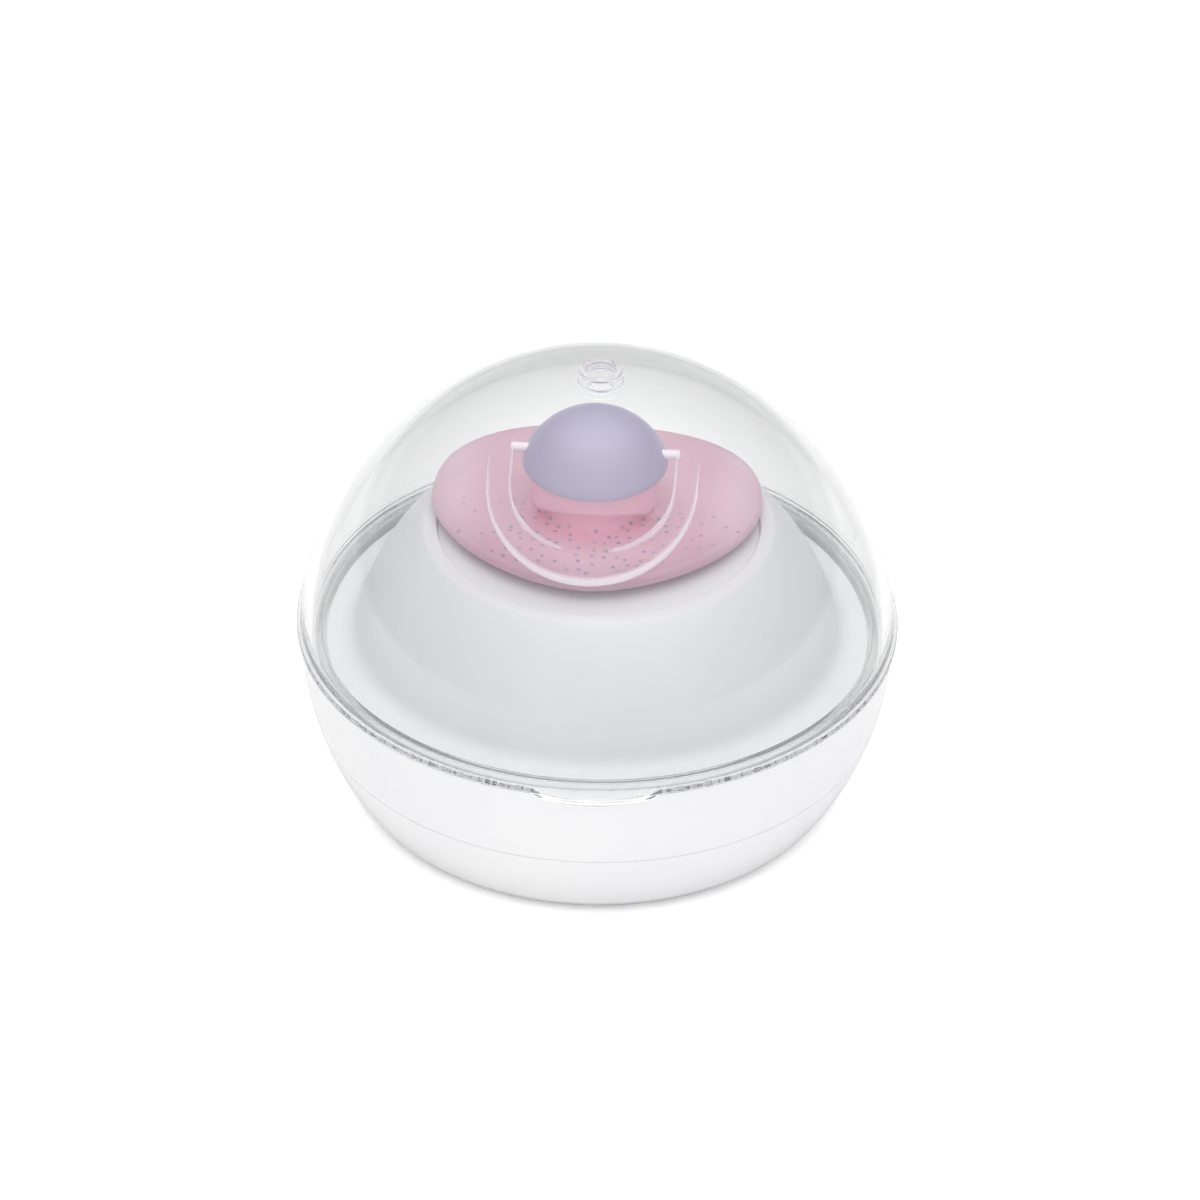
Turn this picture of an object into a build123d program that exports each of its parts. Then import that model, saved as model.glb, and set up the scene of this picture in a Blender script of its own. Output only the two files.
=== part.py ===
"""Pacifier sterilizer case: a white bowl, a clear vented lid, and a pacifier on its holder.

Frame: millimetres, +Z up, origin at the middle of the face the case rests on, thumb tab towards -Y.
The case is built round one axis, so most pieces are half profiles turned about Z.
The pacifier has a frame of its own, turned a little about Z on the holder's flat seat.
"""
from build123d import *
from math import asin, atan2, copysign, cos, degrees, hypot, radians, sin, sqrt
import os

# ---- driving dimensions -------------------------------------------------------------------------
# the ball that the bowl and the foot are cut from
ball_radius = 42.0
ball_centre_z = 25.0
shell_wall = 2.0
seam_z = 13.1
seam_chamfer = 0.3
foot_fillet = 5.5
floor_thickness = 2.2
lap_height = 3.0
lap_thickness = 1.2

# the bowl's mouth, which is a little above the ball's middle, and the ledge inside it
rim_rise = 0.8
rim_edge = 0.25
ledge_depth = 3.5
ledge_width = 3.2
ledge_thickness = 1.8

# the water pan that hangs on the ledge
pan_flange_thickness = 1.3
pan_rim_wall = 1.75
pan_wall = 1.4
pan_taper = 4.9
pan_corner = 8.0
pan_floor_gap = 2.1

# the holder: a cut-off dome with a seat for the pacifier's shield
holder_flange_thickness = 1.5
holder_flange_width = 4.03
holder_wall = 1.5
holder_foot_fillet = 2.0
seat_height = 17.2
seat_margin = 1.2
seat_lip_width = 2.0
seat_lip_height = 0.5
teat_hole_gap = 4.0
collar_drop = 3.0
holder_edge = 0.25

# the clear lid: its dome springs from the bowl's rim and clears the pacifier's button
lid_headroom = 4.75
lid_wall = 1.6
flange_overhang = 0.6
flange_thickness = 1.0
flange_edge = 0.3
spigot_depth = 1.9
spigot_thickness = 1.0
tab_width = 18.0
tab_reach = 1.6
tab_lip_drop = 0.3
vent_boss_radius = 3.1
vent_boss_height = 1.5
vent_wall = 1.15
vent_edge = 0.45

# the pacifier's place on the holder
pacifier_x = -0.6
pacifier_tilt = 0.0
pacifier_yaw = -4.0
shield_lift = 0.43

# the pacifier's shield and the hub that stands on it
shield_half_width = 23.1
shield_widest_back = 3.3
shield_front_depth = 21.95
shield_back_depth = 18.8
shield_front_power = 1.75
shield_back_power = 2.6
shield_points = 28
shield_thickness = 1.8
shield_curve_radius = 300.0
shield_edge = 0.7
hub_radius = 8.9
hub_height = 8.65
hub_wall = 1.5
arch_margin = 0.5
arch_bridge = 4.95

# the button on the hub: a round dome whose rim hangs below the ring's pivot
button_overhang = 1.15
button_drop = 1.9
button_skirt = 0.9
button_dome = 6.8
button_crown = 1.8
button_edge = 0.4
button_post_wall = 1.1

# the ring handle and its two pins
ring_side_gap = 1.05
ring_band = 3.45
ring_end = 0.9
ring_arm = 5.9
ring_front_gap = 6.5
ring_front_band = 5.25
ring_thickness = 2.2
ring_edge = 0.7
pin_radius = 0.7
pin_end_wall = 1.0

# the teat and the plug that locks it
web_bore_radius = 4.2
chamber_radius = 5.2
teat_wall = 1.5
teat_root_radius = 4.6
teat_bulb_radius = 8.0
teat_length = 27.0
teat_flange_radius = 8.6
teat_flange_thickness = 1.3
teat_bead_height = 1.2
plug_head_height = 1.6
plug_stem_length = 8.0
plug_chamfer = 0.5

# clearances
lid_fit = 0.15
nest_gap = 0.4
lap_fit = 0.15
pin_fit = 0.06
rest_gap = 0.3
ring_gap = 0.22
snug_fit = 0.1
sheet_gap = 0.15


# ---- shared shapes ------------------------------------------------------------------------------
def circle_radius_at(sphere_radius, height):
    """Radius of the circle that a sphere has at a height above its centre."""
    return sqrt(sphere_radius ** 2 - height ** 2)


def sphere_through(low_radius, low_z, high_radius, high_z):
    """Radius and centre height of the sphere on the Z axis that passes two circles."""
    centre_z = ((high_radius ** 2 + high_z ** 2 - low_radius ** 2 - low_z ** 2)
                / (2 * (high_z - low_z)))
    return hypot(low_radius, low_z - centre_z), centre_z


def ball_point(shell_radius, z):
    """Point of a shell round the ball's centre, as (radius from the axis, z)."""
    return (circle_radius_at(shell_radius, z - ball_centre_z), z)


def ball_middle(shell_radius, low_z, high_z):
    """Point of the same shell midway between two heights, to steer an arc."""
    return ball_point(shell_radius, (low_z + high_z) / 2)


def circles_at(piece, z):
    """Round edges of a turned piece at one level, from the innermost outwards."""
    rounds = piece.edges().filter_by(GeomType.CIRCLE)
    return rounds.filter_by_position(Axis.Z, z - 0.01, z + 0.01).sort_by(SortBy.RADIUS)


def tipped_plane(origin, tip):
    """Plane turned by the pacifier's yaw, its -Y side tipped down by an angle in degrees."""
    lean = radians(tip)
    yaw = radians(pacifier_yaw)
    return Plane(origin=origin, x_dir=(cos(yaw), sin(yaw), 0),
                 z_dir=(sin(lean) * sin(yaw), -sin(lean) * cos(yaw), cos(lean)))


# ---- levels and radii that follow: the bowl, the pan and the holder ---------------------------------
rim_z = ball_centre_z + rim_rise
rim_radius = ball_point(ball_radius, rim_z)[0]
inner_radius = ball_radius - shell_wall
mouth_radius = ball_point(inner_radius, rim_z)[0]
ledge_z = rim_z - ledge_depth
ledge_inner_radius = mouth_radius - ledge_width
ledge_under_z = ledge_z - ledge_thickness

spigot_outer_radius = mouth_radius - lid_fit
spigot_inner_radius = spigot_outer_radius - spigot_thickness
nest_radius = spigot_inner_radius - nest_gap
pan_flange_radius = mouth_radius - nest_gap

pan_top_z = ledge_z + pan_flange_thickness
pan_floor_z = floor_thickness + pan_floor_gap
pan_mouth_radius = ledge_inner_radius - nest_gap
pan_bottom_radius = pan_mouth_radius - pan_taper

holder_top_z = pan_top_z + holder_flange_thickness
holder_foot_radius = nest_radius - holder_flange_width
seat_z = holder_top_z + seat_height
seat_floor_z = seat_z - seat_lip_height
seat_radius = hypot(shield_half_width, shield_widest_back) + seat_margin
teat_hole_radius = teat_bulb_radius + teat_hole_gap

# ---- levels and radii that follow: the pacifier, in a frame of its own ------------------------------
# its origin is the middle of the shield, half way through its thickness
# its z axis is the button's axis
shield_end_droop = shield_half_width ** 2 / (2 * shield_curve_radius)
shield_front_reach = shield_front_depth - shield_widest_back
shield_z = seat_z + shield_lift + shield_thickness / 2 + shield_end_droop
pacifier_plane = tipped_plane((pacifier_x, 0, shield_z), pacifier_tilt)
pacifier_axis = Axis(pacifier_plane.origin, pacifier_plane.z_dir)
pacifier_side = Plane(origin=pacifier_plane.origin, x_dir=pacifier_plane.x_dir,
                      z_dir=-pacifier_plane.y_dir)
shield_top = shield_thickness / 2
button_base = shield_top + hub_height
button_rim = button_base - button_drop
button_edge_level = button_rim + button_skirt
button_top = button_edge_level + button_dome
button_radius = hub_radius + button_overhang
pivot_plane = pacifier_plane.offset(button_base)
pin_end = chamber_radius + pin_end_wall

# ---- levels and radii that follow: the lid ------------------------------------------------------------
flange_top_z = rim_z + flange_thickness
flange_radius = rim_radius + flange_overhang
lid_apex_z = pacifier_plane.offset(button_top).origin.Z + lid_headroom + lid_wall
lid_radius, lid_centre_z = sphere_through(rim_radius, flange_top_z, 0, lid_apex_z)
lid_inner_radius = lid_radius - lid_wall

# ---- foot: the lower half of the bowl, with the flat face the case rests on ----------------------
lap_radius = ball_point(inner_radius, seam_z)[0] - lap_fit
lap_inner_radius = lap_radius - lap_thickness
lap_root_z = seam_z - lap_height
foot_radius = ball_point(ball_radius, 0)[0]

with BuildPart() as base_bottom:
    with BuildSketch(Plane.XZ):
        with BuildLine():
            l1 = Line((0, 0), (foot_radius, 0))
            l2 = ThreePointArc(l1 @ 1, ball_middle(ball_radius, 0, seam_z),
                               ball_point(ball_radius, seam_z))
            l3 = Line(l2 @ 1, (lap_radius, seam_z))
            l4 = Line(l3 @ 1, (lap_radius, seam_z + lap_height))
            l5 = Line(l4 @ 1, (lap_inner_radius, seam_z + lap_height))
            l6 = Line(l5 @ 1, (lap_inner_radius, lap_root_z))
            l7 = Line(l6 @ 1, ball_point(inner_radius, lap_root_z))
            l8 = ThreePointArc(l7 @ 1, ball_middle(inner_radius, floor_thickness, lap_root_z),
                               ball_point(inner_radius, floor_thickness))
            l9 = Line(l8 @ 1, (0, floor_thickness))
            Line(l9 @ 1, l1 @ 0)
        make_face()
    revolve(axis=Axis.Z)
    fillet(circles_at(base_bottom, 0), foot_fillet)
    chamfer(circles_at(base_bottom, seam_z)[-1], seam_chamfer)
base_bottom.part.label = "base_bottom"

# ---- bowl: the upper half, with the mouth and the ledge -------------------------------------------
with BuildPart() as base_bowl:
    with BuildSketch(Plane.XZ):
        with BuildLine():
            b1 = Line(ball_point(inner_radius, seam_z), ball_point(ball_radius, seam_z))
            b2 = ThreePointArc(b1 @ 1, ball_middle(ball_radius, seam_z, rim_z),
                               ball_point(ball_radius, rim_z))
            b3 = Line(b2 @ 1, (mouth_radius, rim_z))
            b4 = Line(b3 @ 1, (mouth_radius, ledge_z))
            b5 = Line(b4 @ 1, (ledge_inner_radius, ledge_z))
            b6 = Line(b5 @ 1, (ledge_inner_radius, ledge_under_z))
            b7 = Line(b6 @ 1, ball_point(inner_radius, ledge_under_z))
            ThreePointArc(b7 @ 1, ball_middle(inner_radius, seam_z, ledge_under_z), b1 @ 0)
        make_face()
    revolve(axis=Axis.Z)
    chamfer(circles_at(base_bowl, seam_z)[-1], seam_chamfer)
    fillet(circles_at(base_bowl, rim_z), rim_edge)
base_bowl.part.label = "base_bowl"

# ---- water pan: hangs by its flange on the ledge --------------------------------------------------
with BuildPart() as water_pan:
    with BuildSketch(Plane.XZ):
        with BuildLine():
            p1 = Line((0, pan_floor_z), (pan_bottom_radius, pan_floor_z))
            p2 = Line(p1 @ 1, (pan_mouth_radius, ledge_z))
            p3 = Line(p2 @ 1, (pan_flange_radius, ledge_z))
            p4 = Line(p3 @ 1, (pan_flange_radius, pan_top_z))
            p5 = Line(p4 @ 1, (pan_mouth_radius - pan_rim_wall, pan_top_z))
            p6 = Line(p5 @ 1, (pan_bottom_radius - pan_wall, pan_floor_z + pan_wall))
            p7 = Line(p6 @ 1, (0, pan_floor_z + pan_wall))
            Line(p7 @ 1, p1 @ 0)
        make_face()
    revolve(axis=Axis.Z)
    fillet(circles_at(water_pan, pan_floor_z), pan_corner)
    fillet(circles_at(water_pan, pan_floor_z + pan_wall), pan_corner - pan_wall)
water_pan.part.label = "water_pan"

# ---- holder: the cut-off dome that the pacifier sits on -------------------------------------------
holder_radius, holder_centre_z = sphere_through(holder_foot_radius, holder_top_z, seat_radius, seat_z)
holder_inner_radius = holder_radius - holder_wall
seat_inner_radius = seat_radius - seat_lip_width
seat_under_z = seat_floor_z - holder_wall
collar_inner_radius = teat_hole_radius
collar_outer_radius = collar_inner_radius + holder_wall


def holder_point(radius, z):
    """Point of the holder's dome, outside or inside, as (radius from the axis, z)."""
    return (circle_radius_at(radius, z - holder_centre_z), z)


with BuildPart() as holder_dome:
    with BuildSketch(Plane.XZ):
        with BuildLine():
            h1 = Line(holder_point(holder_inner_radius, pan_top_z), (nest_radius, pan_top_z))
            h2 = Line(h1 @ 1, (nest_radius, holder_top_z))
            h3 = Line(h2 @ 1, (holder_foot_radius, holder_top_z))
            h4 = ThreePointArc(h3 @ 1, holder_point(holder_radius, (holder_top_z + seat_z) / 2),
                               (seat_radius, seat_z))
            h5 = Line(h4 @ 1, (seat_inner_radius, seat_z))
            h6 = Line(h5 @ 1, (seat_inner_radius, seat_floor_z))
            h7 = Line(h6 @ 1, (collar_inner_radius, seat_floor_z))
            h8 = Line(h7 @ 1, (collar_inner_radius, seat_under_z - collar_drop))
            h9 = Line(h8 @ 1, (collar_outer_radius, seat_under_z - collar_drop))
            h10 = Line(h9 @ 1, (collar_outer_radius, seat_under_z))
            h11 = Line(h10 @ 1, holder_point(holder_inner_radius, seat_under_z))
            ThreePointArc(h11 @ 1, holder_point(holder_inner_radius, (pan_top_z + seat_under_z) / 2),
                          h1 @ 0)
        make_face()
    revolve(axis=Axis.Z)
    fillet(circles_at(holder_dome, holder_top_z)[0], holder_foot_fillet)
    fillet(circles_at(holder_dome, seat_z), holder_edge)
    fillet(circles_at(holder_dome, seat_floor_z)[0], holder_edge)
holder_dome.part.label = "holder_dome"

# ---- lid: clear dome, spigot, flange, thumb tab and steam vent ------------------------------------
tab_tip = flange_radius + tab_reach
tab_chord_y = circle_radius_at(flange_radius, tab_width / 2)
tab_sagitta = tab_tip - tab_chord_y
tab_radius = ((tab_width / 2) ** 2 + tab_sagitta ** 2) / (2 * tab_sagitta)
tab_clear_radius = ball_radius + rest_gap
vent_top_z = lid_apex_z + vent_boss_height
vent_root_z = lid_centre_z + circle_radius_at(lid_inner_radius, vent_boss_radius)


def lid_point(radius, z):
    """Point of the lid's dome, outside or inside, as (radius from the axis, z)."""
    return (circle_radius_at(radius, z - lid_centre_z), z)


def lid_middle(radius, low_z):
    """Point of the lid's dome halfway up from a level to its apex."""
    return lid_point(radius, (low_z + lid_centre_z + radius) / 2)


with BuildPart() as lid_dome:
    with BuildSketch(Plane.XZ):
        with BuildLine():
            d1 = Line((spigot_inner_radius, rim_z - spigot_depth),
                      (spigot_outer_radius, rim_z - spigot_depth))
            d2 = Line(d1 @ 1, (spigot_outer_radius, rim_z))
            d3 = Line(d2 @ 1, (flange_radius, rim_z))
            d4 = Line(d3 @ 1, (flange_radius, flange_top_z))
            d5 = Line(d4 @ 1, (rim_radius, flange_top_z))
            d6 = ThreePointArc(d5 @ 1, lid_middle(lid_radius, flange_top_z), (0, lid_apex_z))
            d7 = Line(d6 @ 1, (0, lid_apex_z - lid_wall))
            d8 = ThreePointArc(d7 @ 1, lid_middle(lid_inner_radius, flange_top_z),
                               lid_point(lid_inner_radius, flange_top_z))
            d9 = Line(d8 @ 1, (spigot_inner_radius, flange_top_z))
            Line(d9 @ 1, d1 @ 0)
        make_face()
    revolve(axis=Axis.Z)
    fillet([circles_at(lid_dome, rim_z)[-1], circles_at(lid_dome, flange_top_z)[-1]], flange_edge)
    with BuildSketch(Plane.XY.offset(rim_z - tab_lip_drop)):
        with Locations((0, tab_radius - tab_tip)):
            Circle(tab_radius)
        Circle(tab_clear_radius, mode=Mode.SUBTRACT)
    extrude(amount=flange_thickness + tab_lip_drop)
    with BuildSketch(Plane.XY.offset(vent_root_z)):
        Circle(vent_boss_radius)
    extrude(amount=vent_top_z - vent_root_z)
    fillet(circles_at(lid_dome, vent_top_z), vent_edge)
    with BuildSketch(Plane.XY.offset(vent_top_z)):
        Circle(vent_boss_radius - vent_wall)
    extrude(amount=-(vent_boss_height + 2 * lid_wall), mode=Mode.SUBTRACT)
lid_dome.part.label = "lid_dome"

# ---- shield with its hub, arched at the front and the back ----------------------------------------
arch_half_width = hub_radius - arch_margin
arch_height = hub_height - arch_bridge


def shield_outline_point(turn):
    """Point of the shield's outline at a turn in degrees: an oval, fuller at the nose side (+Y)."""
    across = cos(radians(turn))
    along = sin(radians(turn))
    depth = shield_back_depth if along > 0 else shield_front_depth
    power = shield_back_power if along > 0 else shield_front_power
    return (shield_half_width * copysign(abs(across) ** (2 / power), across),
            shield_widest_back + depth * copysign(abs(along) ** (2 / power), along))


def pin_plane(side, reach):
    """Plane across the ring's pivot axis, a reach away from its middle, facing outwards."""
    outwards = pivot_plane.x_dir * side
    return Plane(origin=pivot_plane.origin + outwards * reach, x_dir=pivot_plane.y_dir,
                 z_dir=outwards)


with BuildPart() as pacifier_shield:
    with BuildSketch(pacifier_plane.offset(-2 * shield_thickness)):
        with BuildLine():
            Spline([shield_outline_point(360 * step / shield_points) for step in range(shield_points)],
                   periodic=True)
        make_face()
    extrude(amount=4 * shield_thickness)
    with Locations(pacifier_plane.offset(shield_top - shield_curve_radius)):
        Sphere(shield_curve_radius, mode=Mode.INTERSECT)
        Sphere(shield_curve_radius - shield_thickness, mode=Mode.SUBTRACT)
    fillet(pacifier_shield.edges(), shield_edge)
    with BuildSketch(pacifier_plane):
        Circle(hub_radius)
    extrude(amount=button_base)
    with BuildSketch(pacifier_side):
        with BuildLine():
            a1 = EllipticalCenterArc((0, shield_top), arch_half_width, arch_height,
                                     start_angle=0, arc_size=180)
            Line(a1 @ 1, a1 @ 0)
        make_face()
    extrude(amount=hub_radius + snug_fit, both=True, mode=Mode.SUBTRACT)
    with BuildSketch(pacifier_plane):
        Circle(chamber_radius + hub_wall)
    extrude(amount=button_base)
    with BuildSketch(pacifier_plane.offset(shield_top)):
        Circle(chamber_radius)
    extrude(amount=hub_height, mode=Mode.SUBTRACT)
    with BuildSketch(pacifier_plane):
        Circle(web_bore_radius)
    extrude(amount=shield_thickness, both=True, mode=Mode.SUBTRACT)
    for side in (-1, 1):
        with BuildSketch(pin_plane(side, pin_end - snug_fit)):
            Circle(pin_radius + pin_fit)
        extrude(amount=hub_radius, mode=Mode.SUBTRACT)
pacifier_shield.part.label = "pacifier_shield"

# ---- teat: a hollow bulb whose root is buttoned into the shield's web -----------------------------
teat_top = -shield_top - sheet_gap
teat_root = teat_top - teat_flange_thickness
teat_tip = teat_top - teat_length
teat_bulb_level = teat_tip + teat_bulb_radius
teat_bend_level = (teat_root + teat_bulb_level) / 2
teat_neck_radius = web_bore_radius - snug_fit
teat_bead_radius = chamber_radius - snug_fit
teat_bead_top = shield_top + teat_bead_height
teat_hollow_radius = teat_neck_radius - teat_wall
teat_bulb_inner = teat_bulb_radius - teat_wall

with BuildPart() as pacifier_teat:
    with BuildSketch(pacifier_side):
        with BuildLine():
            t1 = Line((teat_hollow_radius, teat_bead_top), (teat_bead_radius, teat_bead_top))
            t2 = Line(t1 @ 1, (teat_bead_radius, shield_top))
            t3 = Line(t2 @ 1, (teat_neck_radius, shield_top))
            t4 = Line(t3 @ 1, (teat_neck_radius, teat_top))
            t5 = Line(t4 @ 1, (teat_flange_radius, teat_top))
            t6 = Line(t5 @ 1, (teat_flange_radius, teat_root))
            t7 = Line(t6 @ 1, (teat_root_radius, teat_root))
            Bezier(t7 @ 1, (teat_root_radius, teat_bend_level),
                   (teat_bulb_radius, teat_bend_level), (teat_bulb_radius, teat_bulb_level))
            CenterArc((0, teat_bulb_level), teat_bulb_radius, start_angle=270, arc_size=90)
            Line((0, teat_tip), (0, teat_tip + teat_wall))
            CenterArc((0, teat_bulb_level), teat_bulb_inner, start_angle=270, arc_size=90)
            t8 = Bezier((teat_bulb_inner, teat_bulb_level), (teat_bulb_inner, teat_bend_level),
                        (teat_hollow_radius, teat_bend_level), (teat_hollow_radius, teat_root))
            Line(t8 @ 1, t1 @ 0)
        make_face()
    revolve(axis=pacifier_axis)
pacifier_teat.part.label = "pacifier_teat"

# ---- plug: spreads the teat's root inside the hub so that it can't pull out -----------------------
plug_head_top = teat_bead_top + plug_head_height

with BuildPart() as pacifier_plug:
    with BuildSketch(pacifier_plane.offset(teat_bead_top)):
        Circle(teat_bead_radius)
    extrude(amount=plug_head_height)
    with BuildSketch(pacifier_plane.offset(teat_bead_top)):
        Circle(teat_hollow_radius - snug_fit)
    extrude(amount=-plug_stem_length)
    chamfer(pacifier_plug.edges().filter_by(GeomType.CIRCLE).sort_by(pacifier_axis)[0],
            plug_chamfer)
pacifier_plug.part.label = "pacifier_plug"

# ---- button: the domed cap that closes the hub and traps the ring's pins --------------------------
button_post_radius = chamber_radius - snug_fit
button_post_inner = button_post_radius - button_post_wall
button_post_end = plug_head_top + rest_gap
button_arc_radius = (button_radius ** 2 + button_dome ** 2) / (2 * button_dome)
button_arc_centre = button_top - button_arc_radius
button_arc_middle = (button_radius / 2,
                     button_arc_centre + circle_radius_at(button_arc_radius, button_radius / 2))

with BuildPart() as pacifier_button:
    with BuildSketch(pacifier_side):
        with BuildLine():
            c1 = Line((button_post_inner, button_post_end), (button_post_radius, button_post_end))
            c2 = Line(c1 @ 1, (button_post_radius, button_base))
            c3 = Line(c2 @ 1, (hub_radius + lap_fit, button_base))
            c4 = Line(c3 @ 1, (hub_radius + lap_fit, button_rim))
            c5 = Line(c4 @ 1, (button_radius, button_rim))
            c6 = Line(c5 @ 1, (button_radius, button_edge_level))
            c7 = ThreePointArc(c6 @ 1, button_arc_middle, (0, button_top))
            c8 = Line(c7 @ 1, (0, button_top - button_crown))
            c9 = Line(c8 @ 1, (button_post_inner, button_top - button_crown))
            Line(c9 @ 1, c1 @ 0)
        make_face()
    revolve(axis=pacifier_axis)
    fillet(pacifier_button.edges().filter_by(GeomType.CIRCLE).sort_by(SortBy.RADIUS)[-2:],
           button_edge)
    for side in (-1, 1):
        with BuildSketch(pin_plane(side, pin_end - snug_fit)):
            Circle(pin_radius + pin_fit)
        extrude(amount=button_radius, mode=Mode.SUBTRACT)
pacifier_button.part.label = "pacifier_button"

# ---- ring handle: a flat bow on two pins, its front over the shield's rounded front edge ------------
ring_inner_half_width = button_radius + ring_side_gap
ring_outer_half_width = ring_inner_half_width + ring_band
ring_inner_reach = button_radius + ring_front_gap
ring_outer_reach = ring_inner_reach + ring_front_band
ring_middle = ring_inner_half_width + ring_band / 2
edge_reach = shield_front_reach - shield_edge
edge_drop = (button_base - shield_top + shield_edge
             + edge_reach ** 2 / (2 * shield_curve_radius))
edge_clearance = ring_thickness / 2 + ring_gap + shield_edge
ring_angle = degrees(atan2(edge_drop, edge_reach) - asin(edge_clearance / hypot(edge_reach, edge_drop)))
ring_plane = tipped_plane(pivot_plane.origin, pacifier_tilt + ring_angle)

with BuildPart() as pacifier_ring:
    with BuildSketch(ring_plane):
        with BuildLine():
            Line((ring_outer_half_width, 0), (ring_outer_half_width, -ring_arm))
            EllipticalCenterArc((0, -ring_arm), ring_outer_half_width, ring_outer_reach - ring_arm,
                                start_angle=180, arc_size=180)
            Line((-ring_outer_half_width, -ring_arm), (-ring_outer_half_width, 0))
            EllipticalCenterArc((-ring_middle, 0), ring_band / 2, ring_end, start_angle=0, arc_size=180)
            Line((-ring_inner_half_width, 0), (-ring_inner_half_width, -ring_arm))
            EllipticalCenterArc((0, -ring_arm), ring_inner_half_width, ring_inner_reach - ring_arm,
                                start_angle=180, arc_size=180)
            Line((ring_inner_half_width, -ring_arm), (ring_inner_half_width, 0))
            EllipticalCenterArc((ring_middle, 0), ring_band / 2, ring_end, start_angle=0, arc_size=180)
        make_face()
    extrude(amount=ring_thickness / 2, both=True)
    fillet(pacifier_ring.edges().filter_by(ring_plane), ring_edge)
    for side in (-1, 1):
        with BuildSketch(pin_plane(side, pin_end)):
            Circle(pin_radius)
        extrude(amount=ring_middle - pin_end)
pacifier_ring.part.label = "pacifier_ring"

# ---- one STEP file for each piece -----------------------------------------------------------------
os.makedirs("parts", exist_ok=True)
pieces = (base_bottom, base_bowl, water_pan, holder_dome, lid_dome, pacifier_shield, pacifier_teat,
          pacifier_plug, pacifier_button, pacifier_ring)
for piece in pieces:
    export_step(piece.part, f"parts/{piece.part.label}.step")
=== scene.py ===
"""Pacifier sterilizer case, dressed: white foot and bowl, water pan, holder, pacifier and clear lid.

Every piece is a surface worked out on a grid of two parameters, in metres, in the frame of the model.
Pieces of the case are turned about Z; pieces of the pacifier live in the pacifier's own frame.
"""
from math import asin, atan2, cos, hypot, radians, sin, sqrt

import bpy
import numpy as np
from mathutils import Matrix, Vector


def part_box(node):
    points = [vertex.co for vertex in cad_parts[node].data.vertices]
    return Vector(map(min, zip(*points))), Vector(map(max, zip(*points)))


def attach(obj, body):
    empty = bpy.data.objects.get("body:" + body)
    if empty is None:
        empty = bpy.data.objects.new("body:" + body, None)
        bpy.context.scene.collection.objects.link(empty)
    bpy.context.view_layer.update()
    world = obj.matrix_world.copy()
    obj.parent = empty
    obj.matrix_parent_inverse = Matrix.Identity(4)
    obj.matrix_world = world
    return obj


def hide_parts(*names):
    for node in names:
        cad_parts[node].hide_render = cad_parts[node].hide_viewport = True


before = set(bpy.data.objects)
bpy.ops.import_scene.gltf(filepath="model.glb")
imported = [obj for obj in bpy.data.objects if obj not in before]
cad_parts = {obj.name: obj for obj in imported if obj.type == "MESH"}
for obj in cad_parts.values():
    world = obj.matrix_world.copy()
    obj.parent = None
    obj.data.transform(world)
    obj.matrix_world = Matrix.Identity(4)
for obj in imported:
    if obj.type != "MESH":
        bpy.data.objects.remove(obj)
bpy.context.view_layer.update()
mm = 0.001

# ---- sizes read from the frame -----------------------------------------------------------------------
bowl_low, bowl_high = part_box("base_bowl")
pan_low, pan_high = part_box("water_pan")
holder_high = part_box("holder_dome")[1]
lid_low, lid_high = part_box("lid_dome")

ball_radius = bowl_high.x
seam_z = bowl_low.z
rim_z = bowl_high.z
lap_top_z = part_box("base_bottom")[1].z
nest_radius = holder_high.x
pan_flange_radius = pan_high.x
pan_floor_z = pan_low.z
pan_top_z = pan_high.z
seat_z = holder_high.z
flange_radius = lid_high.x
spigot_end_z = lid_low.z
tab_tip = -lid_low.y
vent_top_z = lid_high.z

# ---- sizes of the case -------------------------------------------------------------------------------
ball_centre_z = rim_z - 0.8 * mm
shell_wall = 2.0 * mm
floor_thickness = 2.2 * mm
foot_fillet = 5.5 * mm
lap_thickness = 1.2 * mm
lap_fit = 0.15 * mm
seam_chamfer = 0.3 * mm
ledge_z = pan_top_z - 1.3 * mm
ledge_width = 3.2 * mm
ledge_thickness = 1.8 * mm
nest_gap = 0.4 * mm
pan_wall = 1.4 * mm
pan_rim_wall = 1.75 * mm
pan_taper = 4.9 * mm
pan_corner = 8.0 * mm
holder_wall = 1.5 * mm
holder_flange_width = 4.03 * mm
holder_foot_fillet = 2.0 * mm
seat_lip_width = 2.0 * mm
seat_lip_height = 0.5 * mm
teat_hole_radius = 12.0 * mm
collar_drop = 3.0 * mm
lid_wall = 1.6 * mm
spigot_thickness = 1.0 * mm
lid_fit = 0.15 * mm
flange_thickness = 1.0 * mm
tab_half_width = 9.0 * mm
tab_lip_drop = 0.3 * mm
vent_boss_height = 1.5 * mm
vent_boss_radius = 3.1 * mm
vent_hole_radius = 1.95 * mm
fine_edge = 0.25 * mm
soft_edge = 0.45 * mm

# ---- sizes of the pacifier, in its own frame -----------------------------------------------------------
pacifier_x = -0.6 * mm
pacifier_tilt = radians(0.0)
pacifier_yaw = radians(-4.0)
shield_half_width = 23.1 * mm
shield_widest_back = 3.3 * mm
shield_front_depth = 21.95 * mm
shield_back_depth = 18.8 * mm
shield_front_power = 1.75
shield_back_power = 2.6
shield_thickness = 1.8 * mm
shield_curve_radius = 300.0 * mm
shield_lift = 0.43 * mm
shield_edge = 0.7 * mm
hub_radius = 8.9 * mm
hub_height = 8.65 * mm
hub_core_radius = 6.7 * mm
chamber_radius = 5.2 * mm
web_bore_radius = 4.2 * mm
arch_half_width = hub_radius - 0.5 * mm
arch_height = hub_height - 4.95 * mm
button_radius = hub_radius + 1.15 * mm
button_drop = 1.9 * mm
button_skirt = 0.9 * mm
button_dome = 6.8 * mm
button_crown = 1.8 * mm
button_post_wall = 1.1 * mm
ring_inner_half_width = button_radius + 1.05 * mm
ring_band = 3.45 * mm
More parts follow.
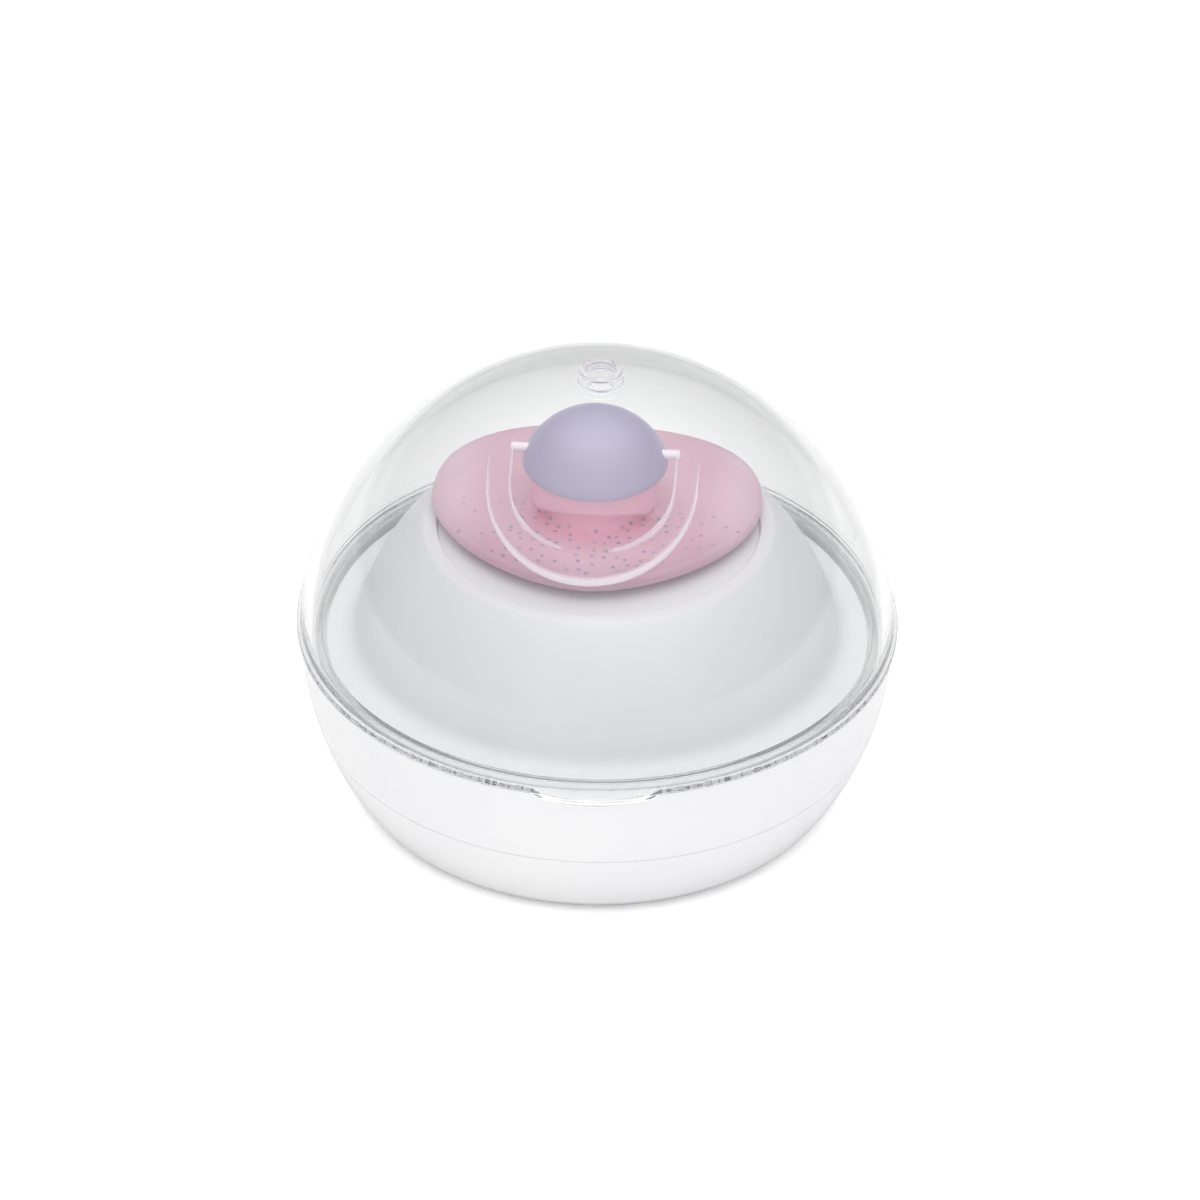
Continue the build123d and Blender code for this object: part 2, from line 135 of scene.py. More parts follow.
ring_end = 0.9 * mm
ring_arm = 5.9 * mm
ring_inner_reach = button_radius + 6.5 * mm
ring_outer_reach = ring_inner_reach + 5.25 * mm
ring_thickness = 2.2 * mm
ring_gap = 0.22 * mm
pin_radius = 0.7 * mm
pin_end = 6.2 * mm
teat_wall = 1.5 * mm
teat_root_radius = 4.6 * mm
teat_bulb_radius = 8.0 * mm
teat_length = 27.0 * mm
teat_flange_radius = 8.6 * mm
teat_flange_thickness = 1.3 * mm
teat_bead_height = 1.2 * mm
plug_head_height = 1.6 * mm
plug_stem_length = 8.0 * mm
snug_fit = 0.1 * mm
rest_gap = 0.3 * mm
sheet_gap = 0.15 * mm
seat_radius = hypot(shield_half_width, shield_widest_back) + 1.2 * mm


# ---- outlines ------------------------------------------------------------------------------------------
def circle_radius_at(sphere_radius, height):
    """Radius of the circle that a sphere has at a height above its centre."""
    return sqrt(sphere_radius ** 2 - height ** 2)


def line(start, end, spacing=0.6 * mm):
    """Evenly spaced points from start to end."""
    count = max(3, int(hypot(end[0] - start[0], end[1] - start[1]) / spacing) + 2)
    share = np.linspace(0, 1, count)[:, None]
    return (1 - share) * np.array(start) + share * np.array(end)


def arc(centre, radius, start, end, spacing=0.6 * mm):
    """Points centre + radius (cos a, sin a), for angles a from start to end in radians."""
    count = max(5, int(abs(end - start) * radius / spacing) + 2)
    angle = np.linspace(start, end, count)
    return np.array(centre) + radius * np.column_stack((np.cos(angle), np.sin(angle)))


def dome_line(radius, centre_z, start_z, end_z, spacing=0.6 * mm):
    """The side of a sphere on the axis, from one height to another, as (radius from the axis, z)."""
    return arc((0, centre_z), radius, asin((start_z - centre_z) / radius),
               asin((end_z - centre_z) / radius), spacing)


def trimmed(stretch, head, tail):
    """The same stretch without a length at its head and one at its tail, measured along it."""
    length = np.concatenate(([0], np.cumsum(np.hypot(*np.diff(stretch, axis=0).T))))
    kept = length[(length > head) & (length < length[-1] - tail)]
    at = np.concatenate(([head], kept, [length[-1] - tail]))
    return np.column_stack([np.interp(at, length, column) for column in stretch.T])


def outline(stretches, cuts, closed=True, steps=7):
    """One outline from stretches that meet end to start.

    cuts[i] is how far the corner before stretch i is cut back, along both of its sides; a parabola with
    its control point on the corner, (1-t)^2 A + 2t(1-t) B + t^2 C, rounds what was cut.
    """
    count = len(stretches)
    ends = [cuts[(i + 1) % count] if closed or i + 1 < count else 0 for i in range(count)]
    heads = [cuts[i] if closed or i else 0 for i in range(count)]
    short = [trimmed(s, heads[i], ends[i]) for i, s in enumerate(stretches)]
    t = np.linspace(0, 1, steps)[1:-1, None]
    made = []
    for i in range(count):
        made.append(short[i])
        if closed or i + 1 < count:
            a, b, c = short[i][-1], stretches[i][-1], short[(i + 1) % count][0]
            made.append((1 - t) ** 2 * a + 2 * t * (1 - t) * b + t ** 2 * c)
    points = np.concatenate(made)
    apart = np.hypot(*(points - np.roll(points, 1, axis=0)).T) > 1e-7
    if not closed:
        apart[0] = True
    return points[apart]


# ---- surfaces ------------------------------------------------------------------------------------------
def mesh_piece(name, points, faces):
    """A smooth-shaded mesh object at the origin."""
    mesh = bpy.data.meshes.new(name)
    mesh.from_pydata(points.tolist(), [], faces)
    mesh.validate()
    mesh.shade_smooth()
    piece = bpy.data.objects.new(name, mesh)
    bpy.context.scene.collection.objects.link(piece)
    return piece


def grid_faces(rows, columns, closed_rows):
    """Quads between neighbours of a grid that is closed along its columns, and maybe along its rows."""
    row = np.arange(rows if closed_rows else rows - 1)[:, None]
    column = np.arange(columns)[None, :]
    down, right = (row + 1) % rows, (column + 1) % columns
    corners = (row * columns + column, row * columns + right,
               down * columns + right, down * columns + column)
    return np.stack(np.broadcast_arrays(*corners), axis=-1).reshape(-1, 4)


def skin(name, grid, closed_rows, flip=False):
    """A closed surface over grid[row, column] = (x, y, z), whose columns run round.

    The rows run round too, or else the first and the last row are drawn together, each into its own pole.
    """
    poles = None
    if not closed_rows:
        poles = np.array([grid[0].mean(axis=0), grid[-1].mean(axis=0)])
        grid = grid[1:-1]
    rows, columns = grid.shape[:2]
    points = grid.reshape(-1, 3)
    faces = grid_faces(rows, columns, closed_rows).tolist()
    if poles is not None:
        first, last = len(points), len(points) + 1
        points = np.concatenate((points, poles))
        final = (rows - 1) * columns
        faces += [[first, (c + 1) % columns, c] for c in range(columns)]
        faces += [[last, final + c, final + (c + 1) % columns] for c in range(columns)]
    if flip:
        faces = [face[::-1] for face in faces]
    return mesh_piece(name, points, faces)


def turned(name, profile, closed=True, steps=240, place=None):
    """A profile (radius, height) turned about the axis: x = r cos a, y = r sin a, z = h.

    An open profile starts and ends at the axis. place carries the surface from its own frame.
    """
    angle = np.linspace(0, 2 * np.pi, steps, endpoint=False)[None, :]
    radius, height = profile[:, :1], profile[:, 1:]
    grid = np.stack(np.broadcast_arrays(radius * np.cos(angle), radius * np.sin(angle), height), axis=-1)
    if place is not None:
        grid = carried(grid, place)
    return skin(name, grid, closed)


def marked(piece, name, value):
    """Writes a named value on each point of a piece, for its finish to read."""
    mark = piece.data.attributes.new(name, "FLOAT", "POINT")
    mark.data.foreach_set("value", np.broadcast_to(value, len(piece.data.vertices)).astype(np.float32))
    return piece


def carried(points, place):
    """Points moved by a 4x4 matrix: R p + t."""
    matrix = np.array(place)
    return points @ matrix[:3, :3].T + matrix[:3, 3]


# ---- pieces of the case ----------------------------------------------------------------------------------
inner_radius = ball_radius - shell_wall
rim_radius = circle_radius_at(ball_radius, rim_z - ball_centre_z)
mouth_radius = circle_radius_at(inner_radius, rim_z - ball_centre_z)
flange_top_z = rim_z + flange_thickness
lid_apex_z = vent_top_z - vent_boss_height
lid_rise = lid_apex_z - flange_top_z
lid_radius = (rim_radius ** 2 + lid_rise ** 2) / (2 * lid_rise)
lid_centre_z = lid_apex_z - lid_radius


def foot_shell():
    """The foot: a flat face, a round corner, the ball up to the seam, and the lap that enters the bowl."""
    corner_radius = circle_radius_at(ball_radius - foot_fillet, foot_fillet - ball_centre_z)
    corner_end = atan2(foot_fillet - ball_centre_z, corner_radius)
    side = arc((0, ball_centre_z), ball_radius, corner_end, asin((seam_z - ball_centre_z) / ball_radius))
    lap_radius = circle_radius_at(inner_radius, seam_z - ball_centre_z) - lap_fit
    lap_inner = lap_radius - lap_thickness
    root_z = 2 * seam_z - lap_top_z
    root_radius = circle_radius_at(inner_radius, root_z - ball_centre_z)
    floor_radius = circle_radius_at(inner_radius, floor_thickness - ball_centre_z)
    stretches = [
        line((0, 0), (corner_radius, 0), 2 * mm),
        arc((corner_radius, foot_fillet), foot_fillet, -np.pi / 2, corner_end),
        side,
        line(side[-1], (lap_radius, seam_z)),
        line((lap_radius, seam_z), (lap_radius, lap_top_z)),
        line((lap_radius, lap_top_z), (lap_inner, lap_top_z)),
        line((lap_inner, lap_top_z), (lap_inner, root_z)),
        line((lap_inner, root_z), (root_radius, root_z)),
        dome_line(inner_radius, ball_centre_z, root_z, floor_thickness, 1.5 * mm),
        line((floor_radius, floor_thickness), (0, floor_thickness), 2 * mm),
    ]
    cuts = [0, 0.01 * mm, 0.01 * mm, seam_chamfer, 0.1 * mm, 0.2 * mm, 0.2 * mm, 0.1 * mm, 0.1 * mm, 1 * mm]
    return turned("foot_shell", outline(stretches, cuts, closed=False), closed=False)


def bowl_shell():
    """The bowl: the ball from the seam to the rim, the mouth, and the ledge inside it."""
    ledge_inner = mouth_radius - ledge_width
    under_z = ledge_z - ledge_thickness
    under_radius = circle_radius_at(inner_radius, under_z - ball_centre_z)
    seam_inner = (circle_radius_at(inner_radius, seam_z - ball_centre_z), seam_z)
    seam_outer = (circle_radius_at(ball_radius, seam_z - ball_centre_z), seam_z)
    stretches = [
        line(seam_inner, seam_outer),
        dome_line(ball_radius, ball_centre_z, seam_z, rim_z),
        line((rim_radius, rim_z), (mouth_radius, rim_z)),
        line((mouth_radius, rim_z), (mouth_radius, ledge_z)),
        line((mouth_radius, ledge_z), (ledge_inner, ledge_z)),
        line((ledge_inner, ledge_z), (ledge_inner, under_z)),
        line((ledge_inner, under_z), (under_radius, under_z)),
        dome_line(inner_radius, ball_centre_z, under_z, seam_z),
    ]
    cuts = [0.1 * mm, seam_chamfer, fine_edge, fine_edge, 0.1 * mm, fine_edge, 0.1 * mm, 0.3 * mm]
    return turned("bowl_shell", outline(stretches, cuts))


def water_tray():
    """The water pan: a thin tapered dish hung by its flange on the ledge."""
    mouth = mouth_radius - ledge_width - nest_gap
    bottom = mouth - pan_taper
    lip = mouth - pan_rim_wall
    inner_floor = (bottom - pan_wall, pan_floor_z + pan_wall)
    stretches = [
        line((0, pan_floor_z), (bottom, pan_floor_z), 1.5 * mm),
        line((bottom, pan_floor_z), (mouth, ledge_z)),
        line((mouth, ledge_z), (pan_flange_radius, ledge_z)),
        line((pan_flange_radius, ledge_z), (pan_flange_radius, pan_top_z)),
        line((pan_flange_radius, pan_top_z), (lip, pan_top_z)),
        line((lip, pan_top_z), inner_floor),
        line(inner_floor, (0, inner_floor[1]), 1.5 * mm),
    ]
    cuts = [0, 0.8 * pan_corner, 0.2 * mm, 0.3 * mm, 0.3 * mm, 0.5 * mm, 0.8 * (pan_corner - pan_wall)]
    return turned("water_tray", outline(stretches, cuts, closed=False, steps=14), closed=False)


def holder_shell():
    """The holder: a flange, a cut-off dome, the seat with its lip, and a collar round the teat hole."""
    foot_z = pan_top_z + holder_wall
    foot = nest_radius - holder_flange_width
    centre_z = (seat_radius ** 2 + seat_z ** 2 - foot ** 2 - foot_z ** 2) / (2 * (seat_z - foot_z))
    outer = hypot(foot, foot_z - centre_z)
    inner = outer - holder_wall
    seat_inner = seat_radius - seat_lip_width
    floor_z = seat_z - seat_lip_height
    under_z = floor_z - holder_wall
    collar = teat_hole_radius + holder_wall
    drop_z = under_z - collar_drop
    inner_foot = circle_radius_at(inner, pan_top_z - centre_z)
    inner_top = circle_radius_at(inner, under_z - centre_z)
    stretches = [
        line((inner_foot, pan_top_z), (nest_radius, pan_top_z)),
        line((nest_radius, pan_top_z), (nest_radius, foot_z)),
        line((nest_radius, foot_z), (foot, foot_z)),
        dome_line(outer, centre_z, foot_z, seat_z),
        line((seat_radius, seat_z), (seat_inner, seat_z)),
        line((seat_inner, seat_z), (seat_inner, floor_z)),
        line((seat_inner, floor_z), (teat_hole_radius, floor_z)),
        line((teat_hole_radius, floor_z), (teat_hole_radius, drop_z)),
        line((teat_hole_radius, drop_z), (collar, drop_z)),
        line((collar, drop_z), (collar, under_z)),
        line((collar, under_z), (inner_top, under_z)),
        dome_line(inner, centre_z, under_z, pan_top_z),
    ]
    cuts = [0.3 * mm, 0.3 * mm, 0.3 * mm, holder_foot_fillet, fine_edge, fine_edge, 0.2 * mm, fine_edge,
            0.2 * mm, 0.2 * mm, 0.3 * mm, 0.3 * mm]
    return turned("holder_shell", outline(stretches, cuts))


def lid_shell():
    """The lid: spigot, flange, dome and steam vent turned about Z, its thumb tab drawn out of the flange.

    Beyond the bowl's side the radius grows by k (reach(a) - flange radius). reach(a) is the distance at
    angle a of a circle through the tab's tip and corners; k runs from 0 at the bowl to 1 at the edge.
    """
    spigot_outer = mouth_radius - lid_fit
    spigot_inner = spigot_outer - spigot_thickness
    inner = lid_radius - lid_wall
    inner_foot = circle_radius_at(inner, flange_top_z - lid_centre_z)
    boss_root_z = lid_centre_z + circle_radius_at(lid_radius, vent_boss_radius)
    hole_end_z = lid_centre_z + circle_radius_at(inner, vent_hole_radius)
    stretches = [
        line((spigot_inner, spigot_end_z), (spigot_outer, spigot_end_z)),
        line((spigot_outer, spigot_end_z), (spigot_outer, rim_z)),
        line((spigot_outer, rim_z), (flange_radius, rim_z), 0.3 * mm),
        line((flange_radius, rim_z), (flange_radius, flange_top_z), 0.3 * mm),
        line((flange_radius, flange_top_z), (rim_radius, flange_top_z), 0.3 * mm),
        dome_line(lid_radius, lid_centre_z, flange_top_z, boss_root_z, 0.8 * mm),
        line((vent_boss_radius, boss_root_z), (vent_boss_radius, vent_top_z), 0.3 * mm),
        line((vent_boss_radius, vent_top_z), (vent_hole_radius, vent_top_z), 0.2 * mm),
        line((vent_hole_radius, vent_top_z), (vent_hole_radius, hole_end_z), 0.3 * mm),
        dome_line(inner, lid_centre_z, hole_end_z, flange_top_z, 0.8 * mm),
        line((inner_foot, flange_top_z), (spigot_inner, flange_top_z), 0.3 * mm),
        line((spigot_inner, flange_top_z), (spigot_inner, spigot_end_z)),
    ]
    cuts = [0.2 * mm, 0.3 * mm, 0.1 * mm, 0.3 * mm, 0.3 * mm, 0.1 * mm, 0.3 * mm, soft_edge, soft_edge,
            0.2 * mm, 0.6 * mm, 0.3 * mm]
    profile = outline(stretches, cuts)
    angle = np.linspace(0, 2 * np.pi, 288, endpoint=False)
    from_front = (angle + np.pi / 2 + np.pi) % (2 * np.pi) - np.pi
    rise = tab_tip - circle_radius_at(flange_radius, tab_half_width)
    tab_radius = (tab_half_width ** 2 + rise ** 2) / (2 * rise)
    tab_centre = tab_tip - tab_radius
    across = np.clip(tab_centre * np.sin(from_front), -0.99 * tab_radius, 0.99 * tab_radius)
    reach = tab_centre * np.cos(from_front) + np.sqrt(tab_radius ** 2 - across ** 2)
    extra = np.where(np.cos(from_front) > 0, np.clip(reach - flange_radius, 0, None), 0)
    radius, height = profile[:, :1], profile[:, 1:]
    outside = (radius > rim_radius + 0.01 * mm) & (height < flange_top_z + 0.01 * mm)
    share = np.where(outside, (radius - rim_radius) / (flange_radius - rim_radius), 0)
    grown = radius + share * extra
    low = (height < rim_z + 0.3 * mm) & outside
    lip = np.clip(extra / (0.25 * (tab_tip - flange_radius)), 0, 1)
    lowered = height - np.where(low, tab_lip_drop * lip * np.clip(2 * share, 0, 1), 0)
    grid = np.stack(np.broadcast_arrays(grown * np.cos(angle), grown * np.sin(angle), lowered), axis=-1)
    return skin("lid_shell", grid, True)


# ---- pieces of the pacifier ----------------------------------------------------------------------------
def tipped(origin, tip):
    """Matrix of a frame turned by the pacifier's yaw, its -Y side tipped down by an angle."""
    x_axis = Vector((cos(pacifier_yaw), sin(pacifier_yaw), 0))
    z_axis = Vector((sin(tip) * sin(pacifier_yaw), -sin(tip) * cos(pacifier_yaw), cos(tip)))
    y_axis = z_axis.cross(x_axis)
    turn = Matrix((x_axis, y_axis, z_axis)).transposed().to_4x4()
    return Matrix.Translation(origin) @ turn


end_droop = shield_half_width ** 2 / (2 * shield_curve_radius)
shield_z = seat_z + shield_lift + shield_thickness / 2 + end_droop
pacifier_place = tipped((pacifier_x, 0, shield_z), pacifier_tilt)
shield_top = shield_thickness / 2
button_base = shield_top + hub_height
button_rim = button_base - button_drop
button_top = button_rim + button_skirt + button_dome
pivot = pacifier_place @ Vector((0, 0, button_base))
edge_reach = shield_front_depth - shield_widest_back - shield_edge
edge_drop = button_base - shield_top + shield_edge + edge_reach ** 2 / (2 * shield_curve_radius)
edge_clearance = ring_thickness / 2 + ring_gap + shield_edge
ring_angle = atan2(edge_drop, edge_reach) - asin(edge_clearance / hypot(edge_reach, edge_drop))
ring_place = tipped(pivot, pacifier_tilt + ring_angle)


def shield_reach(angle):
    """Distance of the shield's edge from the hub's axis at an angle.

    The outline is x = w |cos t|^(2/p), y = s + d |sin t|^(2/p), with the signs of cos t and sin t. The
    depth d and the power p differ by the side, and s is how far the widest line lies behind the hub.
    """
    t = np.linspace(-np.pi, np.pi, 1440, endpoint=False)
    power = np.where(np.sin(t) > 0, shield_back_power, shield_front_power)
    depth = np.where(np.sin(t) > 0, shield_back_depth, shield_front_depth)
    x = shield_half_width * np.sign(np.cos(t)) * np.abs(np.cos(t)) ** (2 / power)
    y = shield_widest_back + depth * np.sign(np.sin(t)) * np.abs(np.sin(t)) ** (2 / power)
    return np.interp(angle, np.arctan2(y, x), np.hypot(x, y), period=2 * np.pi)


def shield_and_hub():
    """The shield with its hub, as one skin: at each angle a a loop of stations (radius, height).

    The loop runs out along the underside, round the shield's edge, in over the top, up the hub and down
    its chamber. In the arch the hub's wall steps in to the core: the step's height over the shield is
    h sqrt(1 - (x/w)^2), the ellipse of the arch at x = hub radius * cos a, and 0 beside it.
    The near_edge mark grows from 0 to 1 over the last stretch before the shield's edge.
    """
    angle = np.linspace(0, 2 * np.pi, 288, endpoint=False)
    edge = shield_reach(angle)
    across = np.abs(hub_radius * np.cos(angle)) / arch_half_width
    arch = arch_height * np.sqrt(np.clip(1 - across ** 2, 0, None))
    in_arch = np.clip(arch / (0.5 * mm), 0, 1)
    wall = hub_radius + (hub_core_radius - hub_radius) * in_arch

    def sag(radius):
        return radius ** 2 / (2 * shield_curve_radius)

    root_round = 1.4 * mm
    stations = []

    def add(radius, height, droops=True):
        radius = np.broadcast_to(radius, angle.shape)
        height = np.broadcast_to(height, angle.shape)
        stations.append((radius, height - sag(radius) if droops else height))

    flat = edge - shield_edge
    for share in np.linspace(0, 1, 14):
        add(web_bore_radius + share * (flat - web_bore_radius), -shield_top)
    for turn in np.linspace(-90, 90, 15)[1:-1]:
        lift = shield_top - shield_edge
        add(flat + shield_edge * cos(radians(turn)),
            shield_edge * sin(radians(turn)) + (lift if turn > 0 else -lift if turn < 0 else 0))
    root = wall + root_round
    for share in np.linspace(1, 0, 30):
        add(root + share * (flat - root), shield_top)
    for turn in np.linspace(0, 90, 7)[1:]:
        add(root - root_round * sin(radians(turn)), shield_top + root_round * (1 - cos(radians(turn))))
    foot_rise = root_round - sag(wall)
    ceiling = shield_top + np.maximum(arch, foot_rise + 0.05 * mm)
    start = shield_top + foot_rise
    for share in np.linspace(0, 1, 12)[1:-1]:
        add(wall, start + share * (ceiling - 0.25 * mm * in_arch - start), droops=False)
    for share in np.linspace(0, 1, 6):
        add(wall + share * (hub_radius - wall), ceiling + 0.1 * mm * share, droops=False)
    for share in np.linspace(0, 1, 16)[1:]:
        add(hub_radius, ceiling + 0.3 * mm + share * (button_base - ceiling - 0.6 * mm), droops=False)
    add(hub_radius - 0.1 * mm, button_base - 0.08 * mm, droops=False)
    add(hub_radius - 0.3 * mm, button_base, droops=False)
    add(chamber_radius + 0.3 * mm, button_base, droops=False)
    add(chamber_radius, button_base - 0.2 * mm, droops=False)
    for share in np.linspace(0, 1, 6)[1:]:
        add(chamber_radius, button_base - 0.2 * mm - share * (hub_height - 0.3 * mm), droops=False)
    add(chamber_radius - 0.1 * mm, shield_top, droops=False)
    add(web_bore_radius + 0.1 * mm, shield_top, droops=False)
    add(web_bore_radius, shield_top - 0.1 * mm, droops=False)
    add(web_bore_radius, -shield_top + 0.1 * mm, droops=False)
    radius = np.stack([s[0] for s in stations])
    height = np.stack([s[1] for s in stations])
    grid = np.stack((radius * np.cos(angle), radius * np.sin(angle), height), axis=-1)
    fade_width = 6 * mm
    near_edge = np.clip(1 - (edge - radius) / fade_width, 0, 1)
    piece = skin("shield_and_hub", carried(grid, pacifier_place), True)
    return marked(piece, "near_edge", near_edge.ravel())


def button_cap():
    """The button: a round dome, whose skirt hangs round the hub's top, on a post that plugs the hub."""
    skirt_top = button_rim + button_skirt
    skirt_inner = hub_radius + lap_fit
    arc_radius = (button_radius ** 2 + button_dome ** 2) / (2 * button_dome)
    centre = button_top - arc_radius
    post = chamber_radius - snug_fit
    post_inner = post - button_post_wall
    plug_top = shield_top + teat_bead_height + plug_head_height
    post_end = plug_top + rest_gap
    crown = button_top - button_crown
    dome = arc((0, centre), arc_radius, atan2(skirt_top - centre, button_radius), np.pi / 2, 0.5 * mm)
    stretches = [
        line((0, crown), (post_inner, crown)),
        line((post_inner, crown), (post_inner, post_end)),
        line((post_inner, post_end), (post, post_end), 0.3 * mm),
        line((post, post_end), (post, button_base)),
        line((post, button_base), (skirt_inner, button_base)),
        line((skirt_inner, button_base), (skirt_inner, button_rim), 0.3 * mm),
        line((skirt_inner, button_rim), (button_radius, button_rim), 0.3 * mm),
        line((button_radius, button_rim), (button_radius, skirt_top), 0.3 * mm),
        dome,
    ]
    cuts = [0, 0.3 * mm, 0.2 * mm, 0.2 * mm, 0.1 * mm, 0.1 * mm, 0.2 * mm, 0.4 * mm, 0.4 * mm]
    profile = outline(stretches, cuts, closed=False)
    return turned("button_cap", profile, closed=False, place=pacifier_place)


def ring_handle():
    """The ring: a flat bow with two arms.

    Along the bow the inner and outer edges are two arms and two half ellipses about the same centre; the
    section is |u|^n + |v|^n = 1, a rounded bar. Each arm ends in half an ellipse, whose width falls as
    cos b while its reach grows as sin b. The side mark, which places the ring's painted highlight, fades at
    the arm ends and inside the bow's front.
    """
    middle = ring_inner_half_width + ring_band / 2
    cap = np.linspace(np.pi / 2, 0, 14)[:-1]
    arm = np.linspace(0, 1, 12)[:-1]
    bow = np.linspace(0, np.pi, 121)

    def edge(side, reach):
        """The bow's inner (side -1) or outer (side 1) edge, from the left arm's end to the right one's."""
        half = middle + side * ring_band / 2
        left = np.concatenate((
            np.column_stack((-middle - side * ring_band / 2 * np.cos(cap), ring_end * np.sin(cap))),
            np.column_stack((np.full(len(arm), -half), -ring_arm * arm))))
        front = np.column_stack((-half * np.cos(bow), -ring_arm - (reach - ring_arm) * np.sin(bow)))
        return np.concatenate((left, front, left[::-1] * (-1, 1)))

    inner, outer = edge(-1, ring_inner_reach), edge(1, ring_outer_reach)
    half_width = np.hypot(*(outer - inner).T) / 2
    fullness = np.clip(half_width / (0.5 * ring_band), 0, 1) ** 0.35
    turn = np.linspace(0, 2 * np.pi, 48, endpoint=False)
    u = np.sign(np.cos(turn)) * np.abs(np.cos(turn)) ** 0.45
    v = np.sign(np.sin(turn)) * np.abs(np.sin(turn)) ** 0.62
    centre, reach = (inner + outer) / 2, (outer - inner) / 2
    flat = centre[:, None, :] + reach[:, None, :] * u[None, :, None]
    height = fullness[:, None] * v[None, :] * ring_thickness / 2
    grid = np.concatenate((flat, height[:, :, None]), axis=2)
    bow_skin = skin("ring_handle", carried(grid, ring_place), False, flip=True)
    # The side mark places the painted highlight: on the bow's outer side, growing toward its front, and on
    # its inner side, except near the arm ends and the bow's front middle.
    inner_mark = np.clip(-inner[:, 1] / (1.5 * mm), 0, 1)
    inner_mark = inner_mark * np.clip(np.abs(inner[:, 0]) / (7 * mm) - 0.25, 0, 1)
    outer_mark = np.clip(-outer[:, 1] / (5 * mm), 0, 1)
    mark = np.where(u > 0, outer_mark[:, None], inner_mark[:, None])
    side = np.abs(u) ** (3 + 12 * (1 - mark)) * np.clip(3 * mark, 0, 1)
    return marked(bow_skin, "side", np.concatenate((side[1:-1].ravel(), (0, 0))))


def ring_pin(name, side):
    """One pin of the ring, a short round bar from the inner side of its arm to the hub, marked as side all
    over so that its finish paints it as a full highlight.
    """
    middle = ring_inner_half_width + 0.6 * mm
    profile = outline([
        line((0, pin_end), (pin_radius, pin_end), 0.3 * mm),
        line((pin_radius, pin_end), (pin_radius, middle)),
        line((pin_radius, middle), (0, middle), 0.3 * mm),
    ], [0, 0.25 * mm, 0.25 * mm], closed=False)
    along = Matrix.Rotation(side * np.pi / 2, 4, "Y")
    return marked(turned(name, profile, closed=False, steps=40, place=ring_place @ along), "side", 1)


def teat_bulb():
    """The teat: a button root in the web, a flange, a neck that swells to a round bulb, hollow inside."""
    top = -shield_top - sheet_gap
    root = top - teat_flange_thickness
    tip = top - teat_length
    level = tip + teat_bulb_radius
    bend = (root + level) / 2
    neck = web_bore_radius - snug_fit
    bead = chamber_radius - snug_fit
    bead_top = shield_top + teat_bead_height
    hollow = neck - teat_wall
    inner = teat_bulb_radius - teat_wall

    def flank(a, b, c, d):
        t = np.linspace(0, 1, 40)[:, None]
        a, b, c, d = (np.array(p) for p in (a, b, c, d))
        return (1 - t) ** 3 * a + 3 * t * (1 - t) ** 2 * b + 3 * t ** 2 * (1 - t) * c + t ** 3 * d

    stretches = [
        arc((0, level), teat_bulb_radius, -np.pi / 2, 0),
        flank((teat_bulb_radius, level), (teat_bulb_radius, bend), (teat_root_radius, bend),
              (teat_root_radius, root)),
        line((teat_root_radius, root), (teat_flange_radius, root)),
        line((teat_flange_radius, root), (teat_flange_radius, top), 0.3 * mm),
        line((teat_flange_radius, top), (neck, top)),
        line((neck, top), (neck, shield_top)),
        line((neck, shield_top), (bead, shield_top), 0.3 * mm),
        line((bead, shield_top), (bead, bead_top), 0.3 * mm),
        line((bead, bead_top), (hollow, bead_top)),
        line((hollow, bead_top), (hollow, root)),
        flank((hollow, root), (hollow, bend), (inner, bend), (inner, level)),
        arc((0, level), inner, 0, -np.pi / 2),
    ]
    cuts = [0, 0.05 * mm, 0.6 * mm, 0.5 * mm, 0.3 * mm, 0.2 * mm, 0.2 * mm, 0.2 * mm, 0.3 * mm, 0.3 * mm,
            0.05 * mm, 0.05 * mm]
    return turned("teat_bulb", outline(stretches, cuts, closed=False), closed=False, place=pacifier_place)


def teat_plug():
    """The plug: a head over the teat's root and a stem inside it."""
    head_low = shield_top + teat_bead_height
    head_high = head_low + plug_head_height
    head = chamber_radius - 2 * snug_fit
    stem = web_bore_radius - 2 * snug_fit - teat_wall
    stem_end = head_low - plug_stem_length
    stretches = [
        line((0, stem_end), (stem, stem_end), 0.4 * mm),
        line((stem, stem_end), (stem, head_low)),
        line((stem, head_low), (head, head_low)),
        line((head, head_low), (head, head_high), 0.3 * mm),
        line((head, head_high), (0, head_high)),
    ]
    cuts = [0, 0.5 * mm, 0.2 * mm, 0.2 * mm, 0.3 * mm]
    return turned("teat_plug", outline(stretches, cuts, closed=False), closed=False, place=pacifier_place)


# ---- finishes ------------------------------------------------------------------------------------------
class Signal:
    """A number, colour or vector in a node tree; arithmetic on it adds Math nodes."""

    def __init__(self, nodes, socket):
        self.nodes = nodes
        self.socket = socket

    def combined(self, operation, first, second):
        return self.nodes.node("ShaderNodeMath", {"operation": operation}, {0: first, 1: second})

    def __add__(self, other):
        return self.combined("ADD", self, other)

    def __radd__(self, other):
        return self.combined("ADD", other, self)

    def __sub__(self, other):
        return self.combined("SUBTRACT", self, other)

    def __rsub__(self, other):
        return self.combined("SUBTRACT", other, self)

    def __mul__(self, other):
        return self.combined("MULTIPLY", self, other)

    def __rmul__(self, other):
        return self.combined("MULTIPLY", other, self)

    def __pow__(self, other):
        return self.combined("POWER", self, other)

    def __gt__(self, other):
        return self.combined("GREATER_THAN", self, other)

    def __lt__(self, other):
        return self.combined("LESS_THAN", self, other)

    def or_more(self, other):
        return self.combined("MAXIMUM", self, other)


